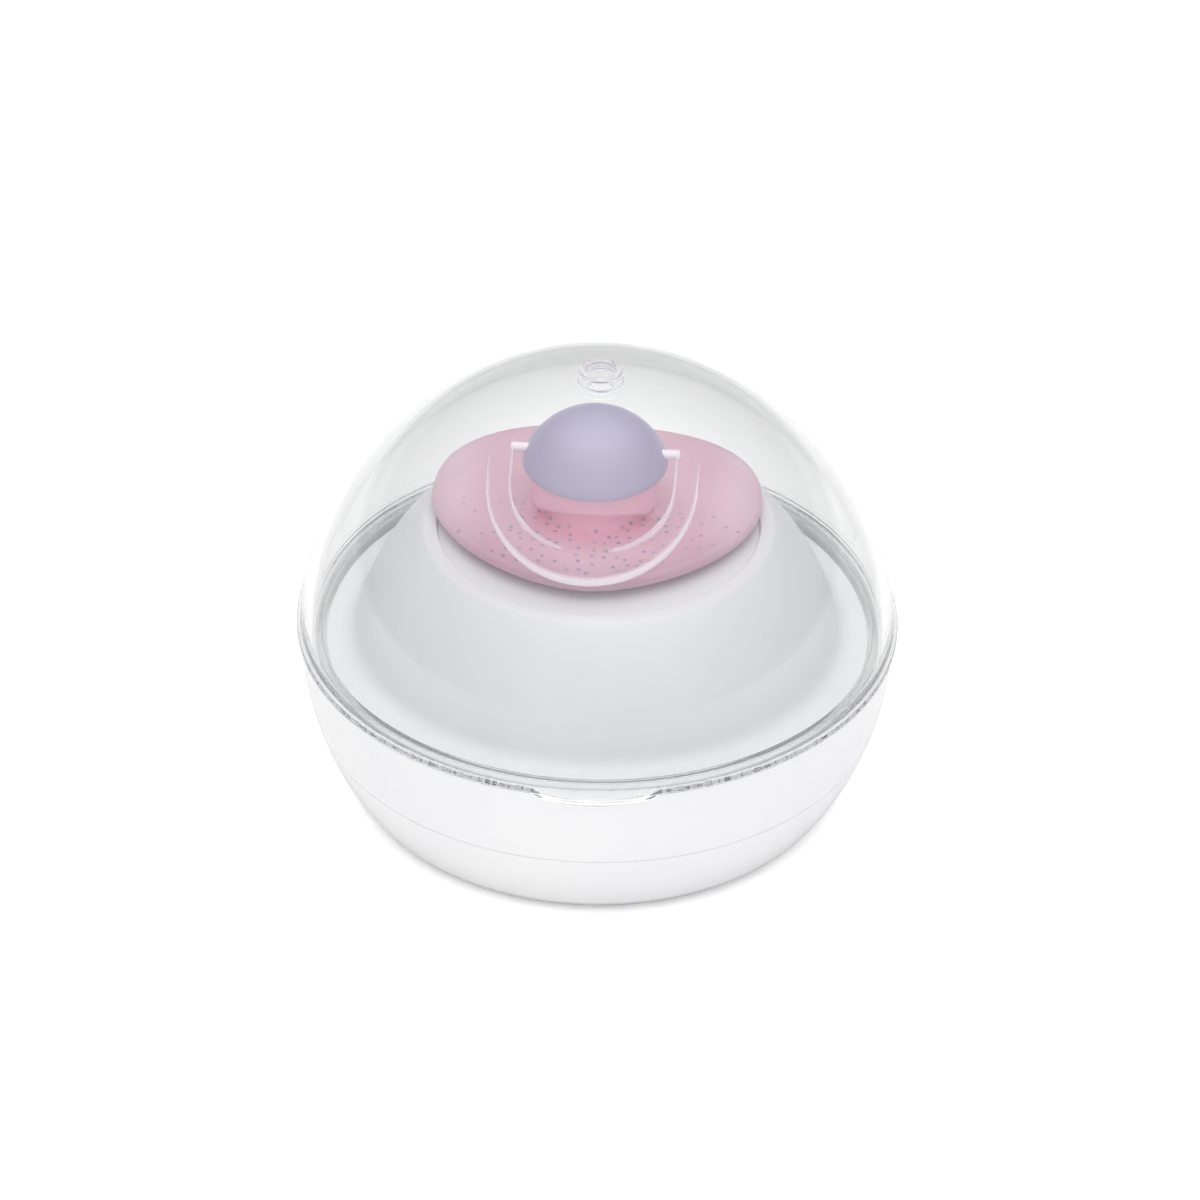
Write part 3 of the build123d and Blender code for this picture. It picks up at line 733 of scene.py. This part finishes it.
class Nodes:
    """The nodes of a material or of the world."""

    def __init__(self, tree):
        self.tree = tree

    def node(self, kind, settings=None, sockets=None, out=0):
        """Adds a node: its settings first (stops are a ramp's), then values or links of its sockets."""
        added = self.tree.nodes.new(kind)
        for setting, value in (settings or {}).items():
            if setting == "stops":
                self.fill_ramp(added.color_ramp, value)
            else:
                setattr(added, setting, value)
        for socket, value in (sockets or {}).items():
            self.feed(added.inputs[socket], value)
        return Signal(self, added.outputs[out])

    def fill_ramp(self, ramp, stops):
        while len(ramp.elements) < len(stops):
            ramp.elements.new(0.5)
        for element, (position, colour) in zip(ramp.elements, stops):
            element.position = position
            element.color = colour

    def feed(self, socket, value):
        if isinstance(value, Signal):
            self.tree.links.new(value.socket, socket)
        else:
            socket.default_value = value

    def outputs_of(self, signal):
        """All outputs of the node that a signal comes from, by name."""
        return {output.name: Signal(self, output) for output in signal.socket.node.outputs}

    def parts_of(self, point):
        """The x, y and z of a point."""
        return self.outputs_of(self.node("ShaderNodeSeparateXYZ", sockets={"Vector": point})).values()

    def noise(self, point, scale, detail=3.0, roughness=0.5):
        return self.node("ShaderNodeTexNoise", {}, {"Vector": point, "Scale": scale, "Detail": detail,
                                                    "Roughness": roughness})

    def ramp(self, value, low, high, start=0.0, end=1.0):
        """A smooth step from start to end while the value goes from low to high."""
        return self.node("ShaderNodeMapRange", {"interpolation_type": "SMOOTHSTEP"},
                         {"Value": value, "From Min": low, "From Max": high, "To Min": start,
                          "To Max": end})

    def mixed(self, share, first, second):
        """A colour between two others."""
        return self.node("ShaderNodeMix", {"data_type": "RGBA"},
                         {0: share, 6: first, 7: second}, out=2)

    def bumped(self, height, strength, distance):
        return self.node("ShaderNodeBump", {}, {"Height": height, "Strength": strength,
                                                "Distance": distance})


class Finish(Nodes):
    """One node material on a Principled shader, whose constant sockets are given by name."""

    def __init__(self, name, constants):
        self.material = bpy.data.materials.new(name)
        self.material.use_nodes = True
        super().__init__(self.material.node_tree)
        self.shader = self.tree.nodes["Principled BSDF"]
        self.surface = self.tree.nodes["Material Output"].inputs["Surface"]
        for socket, value in constants.items():
            self.shader.inputs[socket].default_value = value

    def paint(self, **varying):
        """Feeds the shader's sockets, named with underscores for spaces."""
        for socket, value in varying.items():
            self.feed(self.shader.inputs[socket.replace("_", " ")], value)

    def point(self, place=None):
        """Object coordinates, or the same in a frame of the object given by its matrix."""
        point = self.node("ShaderNodeTexCoord", out="Object")
        if place is None:
            return point
        return self.node("ShaderNodeMapping", {"vector_type": "TEXTURE"},
                         {"Vector": point, "Location": place.to_translation(),
                          "Rotation": place.to_euler()})


grain_depth = 0.02 * mm


def rgb(red, green, blue):
    """Linear colour of an 8-bit screen colour."""
    levels = [c / 255 for c in (red, green, blue)]
    return (*[c / 12.92 if c <= 0.04045 else ((c + 0.055) / 1.055) ** 2.4 for c in levels], 1.0)


def moulded(name, light, dark, roughness, constants):
    """Moulded plastic: a slow drift between two tones, a fine grain in the gloss and the surface."""
    finish = Finish(name, {"IOR": 1.49, **constants})
    point = finish.point()
    drift = finish.noise(point, 45.0, 2.0)
    fine = finish.noise(point, 900.0, 2.0)
    finish.paint(Base_Color=finish.mixed(finish.ramp(drift, 0.3, 0.7), light, dark),
                 Roughness=roughness - 0.04 + 0.08 * fine,
                 Normal=finish.bumped(fine, 0.12, grain_depth))
    return finish


def white_case_finish():
    """Glossy white shell: a slow drift between two whites, dulled and rubbed where it meets the table."""
    finish = Finish("white_case", {"IOR": 1.49, "Coat Weight": 0.35, "Coat Roughness": 0.08})
    point = finish.point()
    height = list(finish.parts_of(point))[2]
    drift = finish.noise(point, 38.0, 2.0)
    fine = finish.noise(point, 1100.0, 2.0)
    rub = finish.ramp(height, 0.0018, 0.0, 0.0, 1.0) * finish.ramp(finish.noise(point, 420.0), 0.42, 0.62)
    tone = finish.mixed(finish.ramp(drift, 0.3, 0.7), rgb(246, 246, 247), rgb(243, 243, 245))
    finish.paint(Base_Color=finish.mixed(0.5 * rub, tone, rgb(214, 213, 211)),
                 Roughness=0.2 + 0.06 * fine + 0.25 * rub,
                 Normal=finish.bumped(fine, 0.08, grain_depth))
    return finish.material


def pan_finish():
    """Satin white dish with faint rings that boiled water leaves on its wall."""
    finish = Finish("water_pan", {"IOR": 1.49})
    point = finish.point()
    height = list(finish.parts_of(point))[2]
    fine = finish.noise(point, 900.0, 2.0)
    ragged = height + 0.0012 * finish.noise(point, 90.0)
    ring = finish.ramp(ragged, 0.0105, 0.0118) * finish.ramp(ragged, 0.0126, 0.0119)
    finish.paint(Base_Color=finish.mixed(0.35 * ring, rgb(238, 238, 238), rgb(222, 220, 214)),
                 Roughness=0.34 + 0.1 * fine + 0.12 * ring,
                 Normal=finish.bumped(fine, 0.1, grain_depth))
    return finish.material


def holder_finish():
    """Satin white holder, a little see-through at its thin lip, with a soft moulded grain."""
    finish = moulded("holder", rgb(240, 240, 240), rgb(236, 236, 237), 0.42,
                     {"Subsurface Weight": 0.12, "Subsurface Radius": (0.004, 0.004, 0.004),
                      "Subsurface Scale": 1.0})
    return finish.material


def clear_lid_finish():
    """Clear plastic that bends what is seen through it; lamps and soft light pass straight through."""
    clear = (0.93, 0.932, 0.935, 1)
    finish = Finish("clear_lid", {"Base Color": clear, "IOR": 1.49, "Transmission Weight": 1.0})
    haze = finish.ramp(finish.noise(finish.point(), 260.0), 0.45, 0.75)
    finish.paint(Roughness=0.01 + 0.03 * haze)
    through = finish.node("ShaderNodeBsdfTransparent", {}, {"Color": clear})
    ray = finish.outputs_of(finish.node("ShaderNodeLightPath"))
    straight = ray["Is Shadow Ray"].or_more(ray["Is Diffuse Ray"])
    finish.feed(finish.surface, finish.node("ShaderNodeMixShader", {}, {
        0: straight, 1: Signal(finish, finish.shader.outputs[0]), 2: through}))
    return finish.material


def pink_finish():
    """Pink shield: tinted plastic, paler at its ends and thinner to its edge, with painted light (a
    lighter, redder pink) on the hub and in its arch and painted shade on its front middle.

    Its specks are one dot in most cells of a Voronoi grid, dense at the front and sparse to the sides.
    """
    finish = Finish("pink_shield", {"IOR": 1.49, "Coat Weight": 0.25, "Coat Roughness": 0.12,
                                    "Subsurface Weight": 0.15,
                                    "Subsurface Radius": (0.003, 0.0015, 0.002),
                                    "Subsurface Scale": 1.0})
    point = finish.point(pacifier_place)
    x, y, z = finish.parts_of(point)
    across = x * x
    from_axis = across + y * y

    def within(squared, inner, outer, low=0.0):
        """1 where a squared distance is below inner^2, down to low where it is above outer^2."""
        return finish.ramp(squared, inner ** 2, outer ** 2, 1.0, low)

    fine = finish.noise(point, 1000.0, 2.0)
    drift = finish.noise(point, 70.0, 2.0)
    pink = finish.mixed(finish.ramp(drift, 0.3, 0.7), rgb(231, 188, 206), rgb(227, 181, 200))
    pink = finish.mixed(within(across, 13 * mm, 21 * mm), rgb(246, 214, 227), pink)
    # Painted shade: a darker pink on the shield's front middle, between the hub and the ring's bow.
    painted_front_shade = finish.ramp(y, -9 * mm, -16 * mm) * within(across, 5 * mm, 11 * mm)
    pink = finish.mixed(painted_front_shade, pink, rgb(219, 179, 197))
    # Painted light: the hub's root and wall, and more so its arch, get a lighter, redder pink that offsets
    # the shade falling on them.
    pink = finish.mixed(within(from_axis, 9.5 * mm, 10.5 * mm), pink, rgb(240, 184, 206))
    pink = finish.mixed(within(from_axis, 8.3 * mm, 8.8 * mm), pink, rgb(251, 184, 209))

    flat_point = finish.node("ShaderNodeCombineXYZ", {}, {"X": x, "Y": y})
    cells = {"Vector": flat_point, "Scale": 600.0, "Randomness": 0.7}
    from_dot = finish.node("ShaderNodeTexVoronoi", {"voronoi_dimensions": "2D"}, cells)
    chance = finish.node("ShaderNodeTexVoronoi", {"voronoi_dimensions": "2D"}, cells, out="Color")
    pick, hue, faint = finish.parts_of(chance)
    dense = finish.ramp(x, -18 * mm, -6 * mm, 0.2, 0.85) * finish.ramp(x, 19 * mm, 8 * mm, 0.45, 1.0)
    front = finish.ramp(y, 4 * mm, -4 * mm)
    level = z + from_axis * (0.5 / shield_curve_radius)
    top_face = (finish.ramp(level, shield_top - 0.3 * mm, shield_top - 0.1 * mm)
                * finish.ramp(z, 1.6 * mm, 1.1 * mm))
    shown = finish.ramp(from_dot, 0.22, 0.14) * front * finish.ramp(dense - pick, -0.02, 0.02) * top_face
    strength = shown * (0.45 + 0.45 * faint) * within(across, 9 * mm, 14 * mm, 0.6)
    inks = finish.node("ShaderNodeValToRGB", {"stops": [
        (0.0, rgb(118, 130, 156)), (0.4, rgb(122, 142, 148)), (0.7, rgb(150, 120, 180)),
        (1.0, rgb(130, 120, 162))]}, {"Fac": hue})
    rim = finish.node("ShaderNodeAttribute", {"attribute_name": "near_edge"}, out="Fac")
    finish.paint(Base_Color=finish.mixed(strength, pink, inks),
                 Roughness=0.3 + 0.08 * fine,
                 Alpha=0.95 - 0.3 * rim ** 2.0,
                 Normal=finish.bumped(fine, 0.1, grain_depth))
    return finish.material


def lilac_finish():
    """Lilac button: satin plastic, painted paler at its crown as painted light from above, with a faint
    swirl of its melt.
    """
    finish = Finish("lilac_button", {"IOR": 1.49, "Coat Weight": 0.1, "Coat Roughness": 0.2,
                                     "Subsurface Weight": 0.1,
                                     "Subsurface Radius": (0.002, 0.002, 0.003),
                                     "Subsurface Scale": 1.0})
    point = finish.point(pacifier_place)
    height = list(finish.parts_of(point))[2]
    # Painted light: crown grows over the dome's top 4 mm, where the tone is painted paler as if lit from
    # above.
    crown = finish.ramp(height, button_top - 4 * mm, button_top)
    swirl = finish.ramp(finish.noise(point, 45.0, 2.0), 0.3, 0.7)
    fine = finish.noise(point, 1300.0, 2.0)
    tone = finish.mixed(crown, rgb(166, 157, 188), rgb(180, 174, 203))
    finish.paint(Base_Color=finish.mixed(0.3 * swirl, tone, rgb(169, 161, 192)),
                 Roughness=0.32 + 0.08 * fine,
                 Normal=finish.bumped(fine, 0.12, grain_depth))
    return finish.material


def clear_ring_finish():
    """Clear ring: its flat faces let the shield show; its side faces are painted near-white and nearly
    opaque, a painted highlight for the light that their edges catch.
    """
    finish = Finish("clear_ring", {"IOR": 1.49, "Specular IOR Level": 0.5})
    point = finish.point()
    side = finish.node("ShaderNodeAttribute", {"attribute_name": "side"}, out="Fac")
    fine = finish.noise(point, 700.0, 2.0)
    # Painted highlight: where the side mark is high, the colour goes near-white and the alpha nearly
    # opaque.
    finish.paint(Base_Color=finish.mixed(side, rgb(244, 222, 234), rgb(255, 244, 250)),
                 Roughness=0.12 + 0.1 * fine,
                 Alpha=0.03 + 0.92 * finish.ramp(side, 0.3, 0.95))
    return finish.material


def silicone_finish():
    """Clear silicone teat: milky, soft and slightly tacky, with a fine bloom."""
    finish = Finish("silicone_teat", {"IOR": 1.41, "Subsurface Weight": 0.4,
                                      "Subsurface Radius": (0.006, 0.006, 0.006),
                                      "Subsurface Scale": 1.0})
    point = finish.point()
    bloom = finish.noise(point, 160.0, 3.0)
    fine = finish.noise(point, 1500.0, 2.0)
    finish.paint(Base_Color=finish.mixed(bloom, rgb(240, 236, 228), rgb(228, 224, 216)),
                 Roughness=0.28 + 0.14 * bloom,
                 Alpha=0.72 + 0.12 * bloom,
                 Normal=finish.bumped(fine, 0.15, grain_depth))
    return finish.material


# ---- dressing ------------------------------------------------------------------------------------------
def dressed(piece, body, node, material):
    """Gives a piece its finish and its body, and hides the node that it stands for."""
    piece.data.materials.append(material)
    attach(piece, body)
    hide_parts(node)


white = white_case_finish()
dressed(foot_shell(), "base", "base_bottom", white)
dressed(bowl_shell(), "base", "base_bowl", white)
dressed(water_tray(), "base", "water_pan", pan_finish())
dressed(holder_shell(), "holder", "holder_dome", holder_finish())
dressed(lid_shell(), "lid", "lid_dome", clear_lid_finish())
dressed(shield_and_hub(), "pacifier", "pacifier_shield", pink_finish())
dressed(button_cap(), "pacifier", "pacifier_button", lilac_finish())
clear_ring = clear_ring_finish()
dressed(ring_handle(), "ring", "pacifier_ring", clear_ring)
for pin_name, pin_side in (("ring_pin_left", -1), ("ring_pin_right", 1)):
    dressed(ring_pin(pin_name, pin_side), "ring", "pacifier_ring", clear_ring)
dressed(teat_bulb(), "pacifier", "pacifier_teat", silicone_finish())
plug_white = moulded("plug_white", rgb(240, 240, 242), rgb(232, 232, 235), 0.4, {}).material
dressed(teat_plug(), "pacifier", "pacifier_plug", plug_white)


# ---- studio --------------------------------------------------------------------------------------------
def table_top():
    """A plain pale table: a square sheet whose corners are far outside the view.

    What is seen directly is exposed brighter than the light that it sends on, as a white sheet is.
    """
    half = 3.0
    points = np.array([(-half, -half, 0), (half, -half, 0), (half, half, 0), (-half, half, 0)])
    table = mesh_piece("table", points, [[0, 1, 2, 3]])
    finish = Finish("pale_table", {"Roughness": 0.9, "Specular IOR Level": 0.0})
    bounces = finish.outputs_of(finish.node("ShaderNodeLightPath"))["Ray Depth"]
    lit, seen = (0.94, 0.94, 0.94, 1), (1.5, 1.5, 1.5, 1)
    finish.paint(Base_Color=finish.mixed(bounces < 0.5, lit, seen))
    table.data.materials.append(finish.material)


def studio_camera():
    """The camera: 20 ball radii away, 35.12 degrees above the horizon, rolled by 0.84 degrees."""
    eye = Vector((0, -0.6871, 0.5082))
    target = Vector((0.00034, 0, 0.02907))
    roll = radians(0.84)
    forward = (target - eye).normalized()
    right = forward.cross(Vector((0, 0, 1))).normalized()
    upward = right.cross(forward)
    x_axis = cos(roll) * right + sin(roll) * upward
    y_axis = cos(roll) * upward - sin(roll) * right
    turn = Matrix((x_axis, y_axis, -forward)).transposed().to_4x4()
    data = bpy.data.cameras.new("studio_camera")
    data.sensor_width = 36.0
    data.lens = 177.66
    camera = bpy.data.objects.new("studio_camera", data)
    camera.matrix_world = Matrix.Translation(eye) @ turn
    bpy.context.scene.collection.objects.link(camera)
    bpy.context.scene.camera = camera


def room_light():
    """A white tent: light from a direction (x, y, z) is strongest overhead, then at the front and sides.

    Strength = 2.3 z^3 above + 0.95 y^2 at the front + 0.11 y^2 at the back + 0.32 x^2, and 0.34 more
    low at the back.
    """
    world = bpy.data.worlds.new("room")
    world.use_nodes = True
    room = Nodes(world.node_tree)
    x, y, z = room.parts_of(room.node("ShaderNodeTexCoord", out="Generated"))
    above = 2.3 * z.or_more(0.0) ** 3.0
    front = 0.95 * (-1.0 * y).or_more(0.0) ** 2.0
    back = 0.11 * y.or_more(0.0) ** 2.0
    low_back = 0.34 * (y > 0.3) * (z < 0.15)
    background = room.tree.nodes["Background"]
    background.inputs["Color"].default_value = (1, 1, 1, 1)
    room.feed(background.inputs["Strength"], above + front + back + 0.32 * x * x + low_back)
    bpy.context.scene.world = world


def deep_light():
    """Light may bend and mirror many times in the clear lid before it is given up."""
    bounces = bpy.context.scene.cycles
    bounces.max_bounces = bounces.transmission_bounces = bounces.glossy_bounces = 48
    bounces.transparent_max_bounces = 24


table_top()
studio_camera()
room_light()
deep_light()
bpy.context.scene.view_settings.view_transform = "Standard"
